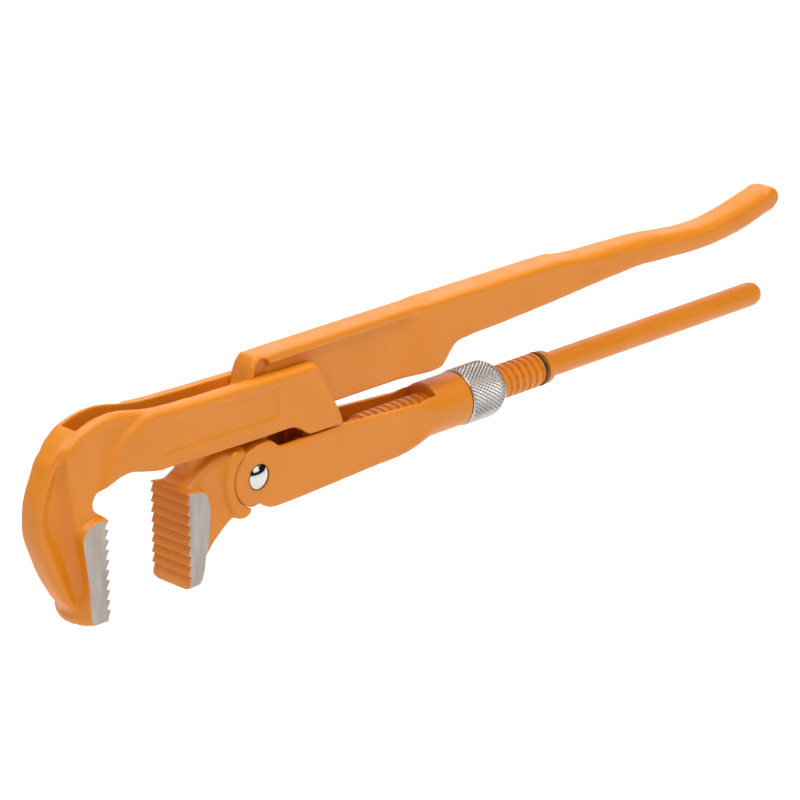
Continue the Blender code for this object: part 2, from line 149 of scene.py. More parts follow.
def loft(sections, steps=9):
    """A closed skin over (x, half width, bottom, top, lower and upper corner radius) sections."""
    bm = bmesh.new()
    rings = []
    for x, half, low, high, r_low, r_high in sections:
        ring = []
        for cy, cz, r, a in ((half - r_high, high - r_high, r_high, 0.0), (r_high - half, high - r_high, r_high, 90.0),
                             (r_low - half, low + r_low, r_low, 180.0), (half - r_low, low + r_low, r_low, 270.0)):
            ring += [bm.verts.new((x, y, z)) for y, z in arc((cy, cz), r, a + 1.0, a + 89.0, steps)]
        rings.append(ring)
    n = len(rings[0])
    for a, b in zip(rings, rings[1:]):
        for k in range(n):
            bm.faces.new((a[k], a[(k + 1) % n], b[(k + 1) % n], b[k]))
    bm.faces.new(rings[0])
    bm.faces.new(rings[-1])
    bmesh.ops.triangulate(bm, faces=bm.faces)
    bmesh.ops.recalc_face_normals(bm, faces=bm.faces)
    return new_object("loft", bm)


def joined(objs):
    """One mesh object of several, not united."""
    bm = bmesh.new()
    for o in objs:
        bm.from_mesh(o.data)
        bpy.data.objects.remove(o, do_unlink=True)
    return new_object("joined", bm)


def bake(obj):
    """Replace the mesh by what its modifiers make."""
    dg = bpy.context.evaluated_depsgraph_get()
    mesh = bpy.data.meshes.new_from_object(obj.evaluated_get(dg))
    old = obj.data
    obj.modifiers.clear()
    obj.data = mesh
    bpy.data.meshes.remove(old)
    return obj


def remesh(obj, voxel):
    m = obj.modifiers.new("r", "REMESH")
    m.mode = "VOXEL"
    m.voxel_size = voxel
    m.adaptivity = 0.0
    return bake(obj)


def relax(obj, times, factor=0.5, where=None):
    m = obj.modifiers.new("s", "SMOOTH")
    if where is not None:
        co = np.zeros(len(obj.data.vertices) * 3)
        obj.data.vertices.foreach_get("co", co)
        chosen = np.nonzero(where(co.reshape(-1, 3)))[0].tolist()
        obj.vertex_groups.new(name="soft").add(chosen, 1.0, "REPLACE")
        m.vertex_group = "soft"
    m.factor = factor
    m.iterations = times
    return bake(obj)


def boolean(obj, tools, op="DIFFERENCE"):
    for t in tools:
        m = obj.modifiers.new("b", "BOOLEAN")
        m.operation = op
        m.solver = "MANIFOLD"
        m.object = t
        before = len(obj.data.polygons)
        bake(obj)
        if len(obj.data.polygons) < 4:
            raise RuntimeError("boolean lost the mesh, from %d faces" % before)
        bpy.data.objects.remove(t, do_unlink=True)
    return obj


def finish_piece(obj, name, body, node, materials, angle=32.0):
    """Into the row frame, smooth-shaded with sharp machined edges, riding on its body."""
    obj.name = name
    obj.data.name = name
    obj.data.transform(TO_FRAME)
    index = np.zeros(len(obj.data.polygons), np.int32)
    obj.data.polygons.foreach_get("material_index", index)
    obj.data.materials.clear()
    for m in materials:
        obj.data.materials.append(m)
    obj.data.polygons.foreach_set("material_index", index if len(materials) > 1 else index * 0)
    obj.data.shade_smooth()
    obj.data.set_sharp_from_angle(angle=math.radians(angle))
    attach(obj, body)
    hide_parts(node)
    return obj


# ------------------------------------------------------------- materials
def node_material(name, base, roughness, metallic=0.0, vary=0.06, vary_scale=60.0, rough_vary=0.08,
                  grain=0.15, grain_scale=900.0, lumps=0.0, lump_scale=120.0, stretch=(1, 1, 1),
                  coat=0.0, specular=0.5, dark=None, anisotropic=0.0):
    """A procedural finish: two scales of colour, varied roughness, and fine and broad relief."""
    mat = bpy.data.materials.new(name)
    mat.use_nodes = True
    nt = mat.node_tree
    sh = nt.nodes["Principled BSDF"]
    sh.inputs["Metallic"].default_value = metallic
    sh.inputs["Specular IOR Level"].default_value = specular
    sh.inputs["Coat Weight"].default_value = coat
    sh.inputs["Coat Roughness"].default_value = 0.22
    sh.inputs["Anisotropic"].default_value = anisotropic

    def node(kind, **kw):
        n = nt.nodes.new(kind)
        for k, v in kw.items():
            setattr(n, k, v)
        return n

    co = node("ShaderNodeTexCoord")
    mp = node("ShaderNodeMapping")
    mp.inputs["Scale"].default_value = stretch
    nt.links.new(co.outputs["Object"], mp.inputs["Vector"])

    def noise(scale, detail=3.0, rough=0.55):
        n = node("ShaderNodeTexNoise")
        n.inputs["Scale"].default_value = scale
        n.inputs["Detail"].default_value = detail
        n.inputs["Roughness"].default_value = rough
        nt.links.new(mp.outputs["Vector"], n.inputs["Vector"])
        return n

    tone = noise(vary_scale, 4.0)
    ramp = node("ShaderNodeValToRGB")
    darker = dark or tuple(c * (1.0 - vary) for c in base)
    lighter = tuple(min(1.0, c * (1.0 + vary)) for c in base)
    ramp.color_ramp.elements[0].position = 0.3
    ramp.color_ramp.elements[1].position = 0.7
    ramp.color_ramp.elements[0].color = (*darker, 1)
    ramp.color_ramp.elements[1].color = (*lighter, 1)
    nt.links.new(tone.outputs["Fac"], ramp.inputs["Fac"])
    nt.links.new(ramp.outputs["Color"], sh.inputs["Base Color"])

    rn = noise(vary_scale * 3.0, 2.0)
    rr = node("ShaderNodeMapRange")
    rr.inputs["From Min"].default_value = 0.3
    rr.inputs["From Max"].default_value = 0.7
    rr.inputs["To Min"].default_value = max(0.02, roughness - rough_vary)
    rr.inputs["To Max"].default_value = min(1.0, roughness + rough_vary)
    nt.links.new(rn.outputs["Fac"], rr.inputs["Value"])
    nt.links.new(rr.outputs["Result"], sh.inputs["Roughness"])

    fine = noise(grain_scale, 2.0)
    b1 = node("ShaderNodeBump")
    b1.inputs["Strength"].default_value = grain
    b1.inputs["Distance"].default_value = 0.0002
    nt.links.new(fine.outputs["Fac"], b1.inputs["Height"])
    last = b1
    if lumps > 0:
        broad = noise(lump_scale, 2.0, 0.5)
        b2 = node("ShaderNodeBump")
        b2.inputs["Strength"].default_value = lumps
        b2.inputs["Distance"].default_value = 0.0006
        nt.links.new(broad.outputs["Fac"], b2.inputs["Height"])
        nt.links.new(b1.outputs["Normal"], b2.inputs["Normal"])
        last = b2
    nt.links.new(last.outputs["Normal"], sh.inputs["Normal"])
    return mat


PAINT = node_material("orange_paint", (0.698, 0.216, 0.006), 0.42, vary=0.045, vary_scale=38.0,
                      grain=0.10, grain_scale=1300.0, lumps=0.16, lump_scale=170.0, coat=0.04, specular=0.42)
GROUND = node_material("ground_steel", (0.425, 0.372, 0.335), 0.46, metallic=0.6, vary=0.13, vary_scale=420.0,
                       rough_vary=0.12, grain=0.35, grain_scale=900.0, stretch=(1.0, 1.0, 0.12))
CHROME = node_material("polished_steel", (0.64, 0.63, 0.61), 0.08, metallic=1.0, vary=0.03, vary_scale=500.0,
                       rough_vary=0.03, grain=0.02, grain_scale=1500.0)
PLATED = node_material("nut_plating", (0.53, 0.50, 0.485), 0.33, metallic=0.9, vary=0.12, vary_scale=300.0,
                       rough_vary=0.08, grain=0.12, grain_scale=1400.0)
DARK = node_material("dark_steel", (0.120, 0.068, 0.038), 0.36, metallic=0.35, vary=0.3, vary_scale=500.0,
                     rough_vary=0.1, grain=0.2, grain_scale=1500.0)


def mark_faces(obj, index, test):
    """Give faces a material slot by their centre and normal, in drawing millimetres."""
    n = len(obj.data.polygons)
    c = np.zeros(n * 3); obj.data.polygons.foreach_get("center", c)
    v = np.zeros(n * 3); obj.data.polygons.foreach_get("normal", v)
    c = c.reshape(-1, 3); v = v.reshape(-1, 3)
    idx = np.zeros(n, np.int32)
    idx[test(c, v)] = index
    obj.data.polygons.foreach_set("material_index", idx)


# ------------------------------------------------------------- hook jaw
TOOTH_PITCH = 3.17
LOWER_PITCH = 3.23
TOOTH_DEPTH = 1.5
UPPER_TIP = (-127.8, -4.5)
LOWER_TIP = (-97.1, -2.5)
LOWER_DEPTH = 1.15
LUG_R, COLLAR_R = 9.55, 9.75

TOP = smooth([(-135.9, 26.7), (-134.0, 27.4), (-130.2, 28.6), (-126.3, 29.2), (-122.5, 29.3), (-118.7, 28.9),
              (-111.0, 27.3), (-104.0, 26.4), (-90.0, 25.8), (-63.0, 25.2), (-44.0, 24.9)])
REAR = [(-43.6, 25.3), (-42.0, 23.9), (-34.0, 9.2), (-32.4, 6.0), (-31.8, 4.2), (-32.6, 2.7)]
FOOT = [(-45.8, 2.9), (-47.6, 3.9), (-49.2, 5.3), (-51.6, 6.6), (-54.6, 7.1)]
UNDER = [(-71.6, 7.1), (-87.8, 7.3), (-99.7, 7.7), (-104.0, 7.8)]
THROAT = smooth([(-104.0, 7.8), (-107.6, 8.1), (-113.9, 9.5), (-117.1, 10.3), (-121.2, 10.2), (-125.4, 8.9),
                 (-128.6, 7.7), (-130.6, 6.3), (-131.6, 4.2), (-131.4, 2.2), (-130.2, 0.8), (-127.0, -1.5)])
RIDGE = smooth([(-129.8, 5.6), (-128.7, 8.3), (-128.0, 11.3), (-126.7, 14.6), (-124.6, 17.7), (-122.2, 20.1),
                (-119.0, 22.6), (-115.8, 24.5), (-112.0, 25.9)])


def hook_jaw(voxel=0.42):
    parts = []
    # shank: two cheeks to be, proud of the crown along a diagonal bevel
    for half, dz, k in ((7.7, 1.4, 1.2), (7.45, 0.9, 0.7), (7.1, 0.5, 0.2), (6.7, 0.3, -0.3), (6.0, 0.0, -1.2)):
        ridge = [(x + 0.75 * k, z - 0.6 * k - (dz if i > 34 else 0.0)) for i, (x, z) in enumerate(RIDGE)]
        top = lowered([p for p in TOP if p[0] > -109.0], dz)
        parts.append(slab(ridge + top + [(-39.5, 24.9 - dz), (-29.8, 9.0), (-29.8, 2.9)]
                          + FOOT + UNDER + [(-108.0, 6.6), (-118.0, 8.0), (-127.0, 6.0)], half))
    # crown and body of the hook
    front = smooth([(-141.3, 20.4), (-141.1, 17.9), (-140.3, 13.0), (-139.5, 8.2), (-139.0, 3.4), (-138.3, -1.4),
                    (-137.4, -7.5), (-136.7, -12.9), (-135.9, -19.5), (-135.4, -24.4), (-135.4, -28.4),
                    (-135.5, -30.0), (-134.6, -32.4)])
    inner = [(-127.0, -32.0), (-126.6, -3.4), (-126.4, -2.2), (-128.6, 1.0), (-129.6, 3.2), (-128.6, 5.4),
             (-124.0, 7.0), (-117.0, 8.6), (-110.0, 9.0)]
    for half, dz, cut_x, step in ((6.15, 1.8, 0.0, 0.7), (5.85, 1.1, 0.4, 0.2), (5.3, 0.55, 0.9, -0.2), (4.7, 0.2, 1.5, -0.6),
                                  (4.0, 0.0, 2.2, -1.2), (3.4, 0.0, 2.6, -2.1)):
        top = lowered([p for p in TOP if p[0] < -108.0], dz)
        nose = [(-140.6 - cut_x, 21.0 + 0.2 * cut_x), (-139.0 - cut_x * 0.9, 23.2 - dz * 0.35)]
        side = [(x + step * min(1.0, max(0.0, (20.0 - z) / 8.0)), z) for x, z in front]
        parts.append(slab(side[::-1] + nose + top + inner[::-1], half))
    # block behind the ground pad, bowed out at its back and bottom
    for half, back, low in ((8.3, 0.3, -33.0), (7.4, 0.8, -33.4), (6.2, 1.6, -33.7), (4.6, 2.3, -33.8), (2.4, 2.8, -33.9)):
        parts.append(slab([(-127.0, low), (-133.5 - back, low), (-134.7 - back, low + 0.9), (-135.6 - back, low + 2.9),
                           (-135.5 - back * 0.7, -27.0), (-135.6, -23.0), (-135.9, -19.5), (-136.8, -12.9), (-137.6, -7.5),
                           (-137.9, -4.6), (-136.4, -2.0), (-131.8, -0.6), (-129.4, -1.0), (-126.6, -1.6)], half))
    # raised pad that is ground flat on both sides
    parts.append(slab([(-126.6, -2.4), (-128.9, -2.3), (-131.1, -1.7), (-133.2, -2.1), (-135.1, -2.8), (-136.4, -4.5),
                       (-137.3, -6.5), (-137.3, -8.1), (-136.8, -12.9), (-135.9, -19.5), (-135.3, -24.4),
                       (-134.8, -29.3), (-134.4, -32.0), (-133.6, -32.8), (-126.6, -32.9)], 9.2))
    # rim and recessed web
    rim_out = smooth([(-134.0, 27.4), (-136.6, 26.4), (-139.6, 24.7), (-143.0, 22.0), (-146.0, 19.0), (-147.9, 14.6),
                      (-149.7, 10.7), (-150.9, 6.4), (-151.35, 0.6), (-151.0, -3.6), (-149.8, -7.4), (-148.4, -11.0),
                      (-146.7, -15.3), (-144.9, -18.9), (-143.1, -22.0), (-141.2, -25.1), (-138.8, -28.2),
                      (-137.4, -30.7), (-136.2, -32.4)])
    rim_in = smooth([(-134.4, -31.0), (-137.2, -27.4), (-139.8, -22.4), (-142.4, -16.4), (-144.9, -10.2), (-147.3, -4.4),
                     (-148.9, 0.4), (-148.7, 5.6), (-147.2, 10.4), (-145.1, 14.6), (-142.4, 18.0), (-138.0, 21.0)])
    for half, out, back in ((4.3, 1.7, -0.6), (3.9, 0.9, 0.3), (3.4, 0.4, 1.3), (3.0, 0.1, 2.3), (2.3, -0.1, 3.2)):
        parts.append(slab([(x + out, z - 0.3 * out) for x, z in rim_out] + [(x + back, z) for x, z in rim_in], half))
    parts.append(slab([(x + 0.9, z) for x, z in rim_out] + [(-131.5, -30.0), (-133.0, -4.0), (-133.5, 10.0), (-131.0, 20.0)], 2.4))
    # fork below the cheeks' rear
    parts.append(slab([(-45.4, 6.0)] + arc(FORK_PIN, 4.95, 180.0, 360.0, 20) + [(-35.6, 6.0)], 5.5))
    body = joined(parts)
    remesh(body, voxel)
    relax(body, 5)
    # the forged rim runs softly into the web
    relax(body, 26, where=lambda c: (c[:, 0] < -133.2) & (c[:, 2] < 23.0) & (c[:, 2] > -30.5))
    # milled slot, the grooves of the neck's bosses, the fork's hole, the throat and the cheeks' rear ends
    slot = slab([(-135.2, 60.0), (-135.2, 26.0), (-132.5, 20.5), (-128.5, 14.5), (-125.6, 9.4), (-125.4, -2.0),
                 (-118.0, -20.0), (-20.0, -20.0), (-20.0, 60.0)], 3.2)
    groove = slab([(-20.0, 9.7), (-20.0, 17.3)] + arc((-108.2, 13.5), 3.8, 90.0, 270.0, 20), 4.4)
    hole = rod(2.7, 2.7, (FORK_PIN[0], -20, FORK_PIN[1]), (FORK_PIN[0], 20, FORK_PIN[1]), 48)
    throat = slab(THROAT + [(-124.0, -3.0), (-104.0, -20.0)], 14.0)
    rear = slab(REAR + [(-32.7, 0.0), (-20.0, 0.0), (-20.0, 40.0), (-43.6, 40.0)], 14.0)
    boolean(body, [slot, groove, hole, throat, rear])
    for side in (-1, 1):
        bevel = slab([(x - 1.3, z - 0.3) for x, z in REAR[:-1]] + [(-20.0, 3.4), (-20.0, 40.0), (-44.9, 40.0)], 3.0,
                     y=side * (6.95 + 3.0))
        panel = slab([(-105.5, 12.6), (-59.5, 12.0), (-59.0, 12.5), (-59.0, 21.3), (-59.5, 21.8), (-105.0, 22.2),
                      (-105.9, 21.6), (-105.9, 13.2)], 1.0, y=side * (7.6 + 1.0 - 0.36))
        boolean(body, [bevel, panel])
    remesh(body, 0.38)
    relax(body, 2)
    # crisp work: teeth, then both sides ground
    z0 = UPPER_TIP[1]
    tooth = [(UPPER_TIP[0] + 12.0, z0 + 12.0), (UPPER_TIP[0] + 0.35, 2.0), (UPPER_TIP[0] + 0.1, -1.7),
             (UPPER_TIP[0] - 0.9, -2.7)]
    for i in range(9):
        z = z0 - i * TOOTH_PITCH
        tooth += [(UPPER_TIP[0] - TOOTH_DEPTH, z + 0.55), (UPPER_TIP[0] - 0.12, z + 0.02), (UPPER_TIP[0] - 0.1, z - 0.16)]
    tooth += [(UPPER_TIP[0] - 0.95, z0 - 9 * TOOTH_PITCH + 1.1), (UPPER_TIP[0] - 0.85, -36.5), (UPPER_TIP[0] + 12.0, -36.5)]
    boolean(body, [slab(tooth, 14.0), box(-150, -120, -14, 14, -40, -33.28)])
    for side in (-1, 1):
        boolean(body, [box(-150, -120, side * 8.25 if side > 0 else -20, 20 if side > 0 else -8.25, -40, 0.5)])
    mark_faces(body, 1, lambda c, n: (np.abs(c[:, 1]) > 8.2) & (np.abs(n[:, 1]) > 0.9) & (c[:, 2] < 0.2) & (c[:, 0] < -120))
    return finish_piece(body, "hook_jaw_forging", "hook_jaw", "hook_jaw", [PAINT, GROUND])


# ------------------------------------------------------------- long handle
GRIP_TOP = smooth([(40.0, 31.3), (66.0, 31.2), (72.0, 30.7), (78.8, 29.9), (97.0, 29.4), (110.7, 28.9), (122.6, 27.6),
                   (131.2, 26.8), (139.0, 26.6), (146.9, 27.2), (158.6, 29.2), (166.5, 31.1), (171.5, 31.9)])
GRIP_TIP = smooth([(171.5, 31.9), (174.2, 31.9), (176.4, 31.0), (177.6, 29.3), (177.7, 27.2), (176.5, 25.2), (174.2, 23.8)])
GRIP_UNDER = smooth([(171.9, 23.3), (161.1, 20.5), (153.9, 19.3), (144.0, 18.4), (134.5, 18.2), (120.5, 18.8),
                     (110.0, 19.3), (104.2, 19.3), (85.3, 18.4), (67.2, 17.4), (40.0, 16.0), (30.0, 15.7),
                     (24.0, 15.3)]) + [(21.2, 14.9), (19.4, 14.2), (17.4, 12.1), (15.9, 10.3), (14.7, 8.9), (13.6, 8.0),
                                       (10.5, 7.8)]


def thickness(x):
    """Half the plate's thickness along the long handle."""
    t = np.clip((x + 4.0) / 14.0, 0, 1)
    t = t * t * (3 - 2 * t)
    return 3.0 + t * 2.4


def rounding(x):
    """How much rounder the edges are than at the head: the grip's are rubbed down."""
    t = min(1.0, max(0.0, (x - 60.0) / 50.0))
    return 1.0 + 1.4 * t * t * (3 - 2 * t)


def thumb_recess(side):
    """Cutter for the recess between the nose and the top flange."""
    return slab([(-59.6, 20.0), (-59.8, 28.6), (-60.4, 29.9), (-61.6, 30.4), (-63.6, 30.2), (-64.9, 29.3), (-65.6, 27.6),
                 (-65.9, 20.0)], 4.0, y=side * (2.5 + 4.0))


def long_handle(voxel=0.45):
    # the plate: head, web and grip, which grows thicker behind the cheeks' reach
    plates = []
    for half, inset in ((5.3, 1.0), (4.5, 0.4), (3.6, 0.1), (2.6, 0.0)):
        top = [(x, z - inset * rounding(x)) for x, z in GRIP_TOP]
        under = [(x, z + inset * rounding(x)) for x, z in GRIP_UNDER]
        tip = [(x - inset * 2.0, z + inset * (1.2 if z < 28.4 else -1.2)) for x, z in GRIP_TIP]
        plates.append(slab([(-66.0, 29.5), (-64.6, 31.2), (-60.0, 31.3), (0.0, 31.3)] + top + tip + under
                           + [(0.0, 7.95 + inset * 0.5), (-33.0, 8.25), (-50.0, 8.3), (-57.0, 7.0), (-60.2, 3.0),
                              (-64.0, 6.0), (-69.0, 14.0), (-69.5, 23.0), (-68.2, 25.4), (-67.8, 26.7), (-66.9, 28.6)],
                           half))
    plate = remesh(joined(plates), 0.6)
    co = np.zeros(len(plate.data.vertices) * 3)
    plate.data.vertices.foreach_get("co", co)
    co = co.reshape(-1, 3)
    co[:, 1] *= thickness(co[:, 0]) / 5.3
    plate.data.vertices.foreach_set("co", co.ravel())
    parts = [plate]
    # neck and tongue
    parts.append(slab([(-64.4, 31.7), (-61.0, 31.4), (-55.0, 31.0), (-50.0, 9.0), (-57.0, 7.0), (-60.0, 3.0)]
                      + arc(RIVET, 9.2, -15.0, -104.0, 24)
                      + [(-75.0, -14.6), (-81.3, -18.0), (-86.0, -22.0), (-90.5, -27.0), (-93.0, -24.0), (-93.4, -3.0),
                         (-92.0, 5.0), (-90.4, 9.5), (-86.6, 14.2), (-81.0, 18.4), (-75.0, 20.8), (-69.5, 23.0),
                         (-68.2, 25.4), (-67.8, 26.7), (-66.9, 28.9), (-65.6, 30.8)], 3.05))
    # nose of the head and the top flange, with a thumb of a recess between them
    for half, inset in ((4.3, 0.7), (3.8, 0.25), (3.2, 0.0)):
        parts.append(slab([(-60.0, 31.3 - inset), (-64.4, 31.5 - inset), (-65.6 + inset, 30.6 - inset), (-66.9 + inset, 28.9),
                           (-67.7 + inset, 26.7), (-68.3 + inset, 25.2), (-68.9 + inset, 24.0), (-60.0, 24.0)], half))
    for half, low in ((4.7, 0.7), (4.2, 0.2), (3.4, 0.0)):
        parts.append(slab([(-62.0, 28.6), (-59.0, 28.2), (6.0, 28.1), (40.0, 27.4), (70.0, 27.2), (72.0, 29.5),
                           (70.0, 31.15 - low), (40.0, 31.35 - low), (-58.0, 31.35 - low), (-61.5, 31.3 - low)], half))
    # lower jaw: web, neck shoulder and toothed block
    for half, dz, k in ((6.4, 2.4, 0.9), (6.0, 1.6, 0.45), (5.3, 0.85, 0.1), (4.4, 0.3, 0.0), (3.6, 0.0, 0.0)):
        parts.append(slab([(-98.4, -1.5 - 0.3 * dz), (-94.6, -0.6 - 0.8 * dz), (-91.9, 0.9 - dz), (-88.3, 3.2 - dz), (-84.6, 5.1 - dz),
                           (-80.6, 6.1 - dz), (-75.0, 6.3 - 0.6 * dz), (-72.0, 6.0 - 0.4 * dz)]
                          + arc(RIVET, COLLAR_R - 0.3, 112.0, 252.0, 40)
                          + [(-72.5, -15.6 + k), (-76.6, -16.3 + k), (-78.4, -17.2 + k), (-81.3, -19.2 + k), (-84.6 - 0.4 * k, -22.1 + k),
                             (-87.0 - 0.6 * k, -25.0 + k), (-90.6 - 0.6 * k, -28.6 + k), (-92.4, -32.0), (-96.6, -32.0)], half))
    for half, k in ((8.0, 0.3), (7.6, 0.0), (7.1, -0.35)):
        parts.append(slab(arc(RIVET, COLLAR_R - 0.3, 114.0, 252.0, 40)
                          + [(-70.7 - k, -15.3 + k), (-71.6 - k, -16.1 + k), (-73.1, -16.6 + k), (-75.4, -16.3 + k), (-77.2, -14.9 + k),
                             (-78.7 + k, -12.2), (-80.3 + k, -8.0), (-80.9 + k, -3.6), (-80.3 + k, 0.6), (-78.6 + k, 4.0),
                             (-76.2 + k, 5.4 - k)], half))
    for half, low, k in ((8.1, 0.5, 0.5), (7.5, 0.1, 0.2), (6.4, -0.3, 0.0), (4.6, -0.7, 0.0), (2.6, -0.9, 0.0)):
        parts.append(slab([(-98.4, -1.8), (-94.6, -1.9 - k), (-91.0, -2.9 - k), (-89.2, -5.0 - k), (-88.5, -8.5), (-88.3, -11.3),
                           (-88.7, -15.9), (-89.2, -20.6), (-90.0, -23.4), (-91.0, -28.2), (-91.7, -31.4 + low),
                           (-92.9, -33.0 + low), (-98.4, -33.0 + low)], half))
    parts.append(slab([(-98.4, -2.3), (-94.6, -2.5), (-91.0, -3.0), (-89.2, -4.3), (-88.1, -8.0), (-87.8, -11.3),
                       (-88.3, -15.9), (-88.8, -20.6), (-89.7, -22.9), (-90.6, -28.2), (-91.5, -31.0), (-92.5, -32.1),
                       (-98.4, -32.2)], 9.2))
    # the neck's two bosses, which slide in the cheeks' grooves
    parts.append(rod(2.5, 2.5, (FULCRUM[0], -4.15, FULCRUM[1]), (FULCRUM[0], 4.15, FULCRUM[1]), 40))
    body = joined(parts)
    remesh(body, voxel)
    relax(body, 5)
    boolean(body, [rod(3.5, 3.5, (RIVET[0], -20, RIVET[1]), (RIVET[0], 20, RIVET[1]), 64)])
    for side in (-1, 1):
        # room for the sleeve's lugs, faced square, and the recess behind the nose
        boolean(body, [slab(arc(RIVET, COLLAR_R, 0, 360, 90)[:-1], 6.0, y=side * (3.05 + 6.0)),
                       thumb_recess(side)])
    remesh(body, 0.42)
    relax(body, 1)
    # teeth, then both sides ground
    tooth = [(LOWER_TIP[0] - 12.0, 8.0), (LOWER_TIP[0] + 1.9, 2.0), (LOWER_TIP[0] + 1.2, LOWER_TIP[1] + 1.3)]
    for i in range(9):
        z = LOWER_TIP[1] - i * LOWER_PITCH
        tooth += [(LOWER_TIP[0] + 0.12, z + 0.16), (LOWER_TIP[0] + 0.12, z - 0.02), (LOWER_TIP[0] + LOWER_DEPTH, z - 0.55)]
    tooth += [(LOWER_TIP[0] + 0.45, LOWER_TIP[1] - 9 * LOWER_PITCH + 0.6), (LOWER_TIP[0] + 0.5, -36.5), (LOWER_TIP[0] - 12.0, -36.5)]
    boolean(body, [slab(tooth, 14.0), box(-110, -80, -14, 14, -40, -33.28)])
    for side in (-1, 1):
        boolean(body, [box(-110, -80, side * 8.25 if side > 0 else -20, 20 if side > 0 else -8.25, -40, 4.0)])
    mark_faces(body, 1, lambda c, n: (np.abs(c[:, 1]) > 8.2) & (np.abs(n[:, 1]) > 0.9) & (c[:, 0] < -80))
    return finish_piece(body, "long_handle_forging", "long_handle", "long_handle", [PAINT, GROUND])


# ------------------------------------------------------------- sleeve
def sleeve(voxel=0.42):
    parts = []
    lug = arc(RIVET, 10.1, 88.0, 88.0, 1)[:1] + arc(RIVET, 9.7, 91.5, 91.5, 1)[:1] + arc(RIVET, LUG_R, 95.0, 258.0, 40)
    under = [(-67.0, -13.9), (-65.9, -14.4), (-64.6, -15.4), (-62.4, -16.5), (-60.2, -16.7), (-51.0, -16.6),
             (-34.0, -15.9), (-14.0, -15.0)]
    walls = [(-14.0, 1.1), (-21.0, 1.6), (-34.0, 2.2), (-57.2, 2.25), (-58.6, 2.5), (-60.4, 4.0), (-61.6, 5.0), (-63.2, 5.35)]
    for half, low in ((7.95, 0.55), (7.5, 0.2), (6.8, 0.0)):
        parts.append(slab(lug + [(x, z + low) for x, z in under] + walls, half))
    end, top = ROD_Z - 8.75, ROD_Z + 8.75
    parts.append(loft([(-15.0, 7.95, -15.05, 1.15, 0.6, 0.3), (-8.0, 7.95, -14.8, 0.65, 0.7, 0.3),
                       (-4.0, 7.98, -14.62, 0.4, 1.5, 0.4), (0.0, 8.1, -14.5, 0.1, 3.1, 0.6), (3.2, 8.3, end, -0.1, 5.0, 1.2),
                       (5.2, 8.5, end, 0.6, 6.6, 3.6), (6.9, 8.66, end, 1.8, 7.8, 6.2), (8.2, 8.73, end, 2.8, 8.5, 8.0),
                       (9.4, 8.75, end, top, 8.73, 8.73), (12.0, 8.75, end, top, 8.73, 8.73)], 16))
    parts.append(lathe([(11.0, 0.0), (11.0, 8.75), (23.2, 8.75), (24.6, 8.75), (24.6, 0.0)], 96, origin=(0, 0, ROD_Z)))
    body = joined(parts)
    remesh(body, voxel)
    relax(body, 5)
    tongue = slab([(-90.0, -30.0), (-60.6, -30.0), (-60.6, -11.0), (-56.0, -11.0), (-56.0, 20.0), (-90.0, 20.0)], 3.3)
    channel = slab([(-59.0, -11.6), (10.0, -11.6), (10.0, 12.0), (-59.0, 12.0)], 5.9)
    bore = rod(5.9, 5.9, (5.0, 0, ROD_Z), (40.0, 0, ROD_Z), 96)
    boolean(body, [tongue, channel, bore])
    remesh(body, 0.34)
    relax(body, 1)
    boolean(body, [rod(3.5, 3.5, (RIVET[0], -20, RIVET[1]), (RIVET[0], 20, RIVET[1]), 64)])
    for side in (-1, 1):
        boolean(body, [rod(4.02 if side > 0 else 4.5, 4.5 if side > 0 else 4.02,
                           (RIVET[0], 7.5 if side > 0 else -9.5, RIVET[1]), (RIVET[0], 9.5 if side > 0 else -7.5, RIVET[1]), 64)])
    boolean(body, [box(23.95, 30, -20, 20, -20, 20)])
    return finish_piece(body, "sleeve_forging", "sleeve", "sleeve", [PAINT])


# ------------------------------------------------------------- turned pieces
def rivet():
    reach, head, crown = 7.85, 3.95, 1.3
    ball = (head * head + crown * crown) / (2 * crown)
    dome = [(reach + crown - ball * (1 - math.cos(a)), ball * math.sin(a))
            for a in np.linspace(0.0, math.asin(head / ball), 16)]
    half = dome + [(reach - 0.1, head), (reach - 0.15, 3.2)]
    profile = half + [(-d, r) for d, r in reversed(half)]
    obj = lathe([(d, 0.0 if i in (0, len(profile) - 1) else r) for i, (d, r) in enumerate(profile)], 72, "Y",
                origin=(RIVET[0], 0, RIVET[1]))
    return finish_piece(obj, "rivet_polished", "sleeve", "jaw_rivet", [CHROME], 40)


def pin():
    profile = [(-5.5, 0.0), (-5.5, 1.9), (-5.35, 2.2), (-5.0, 2.4), (5.0, 2.4), (5.35, 2.2), (5.5, 1.9), (5.5, 0.0)]
    obj = lathe(profile, 48, "Y", origin=(FORK_PIN[0], 0, FORK_PIN[1]))
    return finish_piece(obj, "coupling_pin_turned", "short_handle", "coupling_pin", [GROUND], 40)


PITCH = 3.0


def thread_shape(t):
    """Rounded trapezoid of a coated thread: 0 at the root, 1 on the crest. t counts turns."""
    f = abs((t % 1.0) - 0.5) * 2.0          # 1 at the crest, 0 at the root
    s = min(1.0, max(0.0, (f - 0.10) / 0.42))
    return s * s * (3 - 2 * s)


def grid_surface(bm, xs, n, radius, x_of=None):
    """Rings of a surface given by radius(x, angle), joined along X. Returns the rings."""
    rings = []
    for x in xs:
        rings.append([bm.verts.new((x, radius(x, 2 * math.pi * k / n) * math.cos(2 * math.pi * k / n),
                                    ROD_Z + radius(x, 2 * math.pi * k / n) * math.sin(2 * math.pi * k / n)))
                      for k in range(n)])
    for a, b in zip(rings, rings[1:]):
        for k in range(n):
            bm.faces.new((a[k], a[(k + 1) % n], b[(k + 1) % n], b[k]))
    return rings


